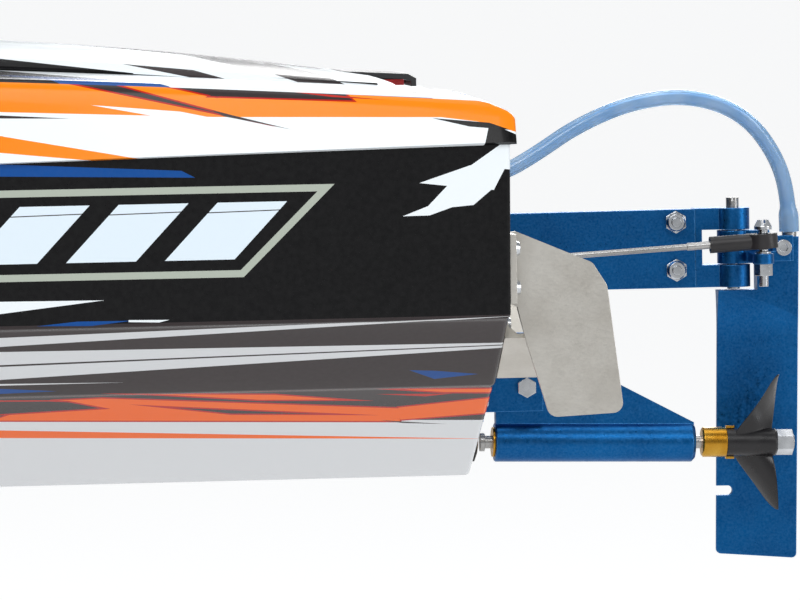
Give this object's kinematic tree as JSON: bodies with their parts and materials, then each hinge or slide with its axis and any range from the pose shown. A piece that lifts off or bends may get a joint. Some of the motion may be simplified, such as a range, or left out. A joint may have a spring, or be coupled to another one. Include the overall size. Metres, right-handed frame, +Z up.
{
  "type": "radio-controlled racing boat",
  "caption": "Deep-vee radio-controlled racing boat with a lift-up hatch, stern rudder, turn fins, trim tabs, strut-mounted propeller and electric drive.",
  "frame": {"origin": "where the keel line meets the transom", "axes": "+X forward to the bow, +Y to port, +Z up"},
  "size_m": [0.9148, 0.2472, 0.1869],
  "materials": {
    "hull_paint": "gloss paint in several colours",
    "deck_paint": "gloss paint in several colours",
    "hatch_paint": "gloss paint in several colours",
    "blue_aluminium": "blue anodised, satin",
    "bright_steel": "satin",
    "sheet_steel": "satin",
    "fastener_steel": "bright zinc plate",
    "black_plastic": "moulded, satin",
    "prop_plastic": "moulded, glass filled",
    "red_plastic": "clear red",
    "brass": "turned",
    "black_rubber": "matt",
    "hose_blue": "translucent",
    "bare_aluminium": "machined",
    "motor_black": "satin",
    "battery_wrap": "shrink wrap",
    "grey_foam": "closed-cell foam",
    "strap_web": "hook-and-loop strap"
  },
  "bodies": {
    "hull": {"battery_straps": "strap_web", "battery_trays": "black_plastic", "bow_foam": "grey_foam", "bracket_bolts": "fastener_steel", "bracket_nuts": "fastener_steel", "cooling_hose": "hose_blue", "deck_shell": "deck_paint", "drain_plug": "black_plastic", "equipment_trays": "black_plastic", "flex_cable": "bright_steel", "hatch_seal": "black_rubber", "heat_sink": "bare_aluminium", "hull_shell": "hull_paint", "motor_can": "motor_black", "motor_mount": "bare_aluminium", "motor_water_jacket": "blue_aluminium", "port_battery": "battery_wrap", "port_trim_tab": "sheet_steel", "port_turn_fin": "sheet_steel", "pushrod_boot": "black_rubber", "receiver_box": "black_plastic", "receiver_lid": "black_plastic", "receiver_module": "black_plastic", "rudder_bracket": "blue_aluminium", "rudder_hinge_block": "blue_aluminium", "rudder_hinge_pin": "bright_steel", "servo_mount": "black_plastic", "speed_control": "black_plastic", "starboard_battery": "battery_wrap", "starboard_trim_tab": "sheet_steel", "starboard_turn_fin": "sheet_steel", "steering_servo": "black_plastic", "strut": "blue_aluminium", "strut_bracket": "blue_aluminium", "strut_bushings": "brass", "strut_pivot_screw": "fastener_steel", "stuffing_tube": "brass", "stuffing_tube_seal": "black_rubber", "transom_hose_fitting": "bare_aluminium", "transom_screws": "fastener_steel", "water_outlet": "bare_aluminium"},
    "hatch": {"hatch_cover": "hatch_paint", "hatch_latch_housing": "black_plastic"},
    "latch": {"hatch_latch_slider": "red_plastic"},
    "rudder": {"rudder_blade": "blue_aluminium", "hose_barb": "bright_steel", "steering_arm": "blue_aluminium", "steering_arm_fasteners": "fastener_steel", "ball_stud": "fastener_steel"},
    "pushrod_link": {"pushrod": "bright_steel", "rod_end": "black_plastic", "servo_rod_end": "black_plastic"},
    "horn": {"servo_horn": "black_plastic", "servo_horn_fasteners": "fastener_steel"},
    "prop_line": {"prop_shaft": "bright_steel", "drive_dog": "brass", "propeller": "prop_plastic", "prop_nut": "fastener_steel"},
    "rotor": {"motor_rotor": "bright_steel", "motor_coupler": "bare_aluminium"}
  },
  "joints": [
    {"name": "rudder_turn", "type": "hinge", "parent": "hull", "child": "rudder", "pos_m": [-0.0884, -0.034, 0.068], "axis": [0, 0, 1], "range_deg": [-30, 30], "deforming": ["cooling_hose"]},
    {"name": "pushrod_swing", "type": "hinge", "parent": "rudder", "child": "pushrod_link", "pos_m": [-0.095, -0.014, 0.0704], "axis": [0, 0, 1], "range_deg": [-30, 30]},
    {"name": "servo_horn_turn", "type": "hinge", "parent": "hull", "child": "horn", "pos_m": [0.06836, -0.034, 0.056], "axis": [0, 0, 1], "range_deg": [-30, 30]},
    {"name": "motor_spin", "type": "hinge", "parent": "hull", "child": "rotor", "pos_m": [0.24, 0, 0.036], "axis": [1, 0, 0], "continuous": true},
    {"name": "prop_spin", "type": "hinge", "parent": "hull", "child": "prop_line", "pos_m": [0, 0, 0.01085], "axis": [0.9997, 0, 0.0244], "continuous": true},
    {"name": "hatch_hinge", "type": "hinge", "parent": "hull", "child": "hatch", "pos_m": [0.566, 0, 0.131], "axis": [0, 1, 0], "range_deg": [0, 50]},
    {"name": "latch_slide", "type": "slide", "parent": "hatch", "child": "latch", "axis": [1, 0, 0], "range_m": [0, 0.004], "stiffness_N_per_m": 60}
  ],
  "couplings": [
    {"joint": "pushrod_swing", "follows": "rudder_turn", "ratio": -1},
    {"joint": "servo_horn_turn", "follows": "rudder_turn", "ratio": 1},
    {"joint": "prop_spin", "follows": "motor_spin", "ratio": 1}
  ]
}
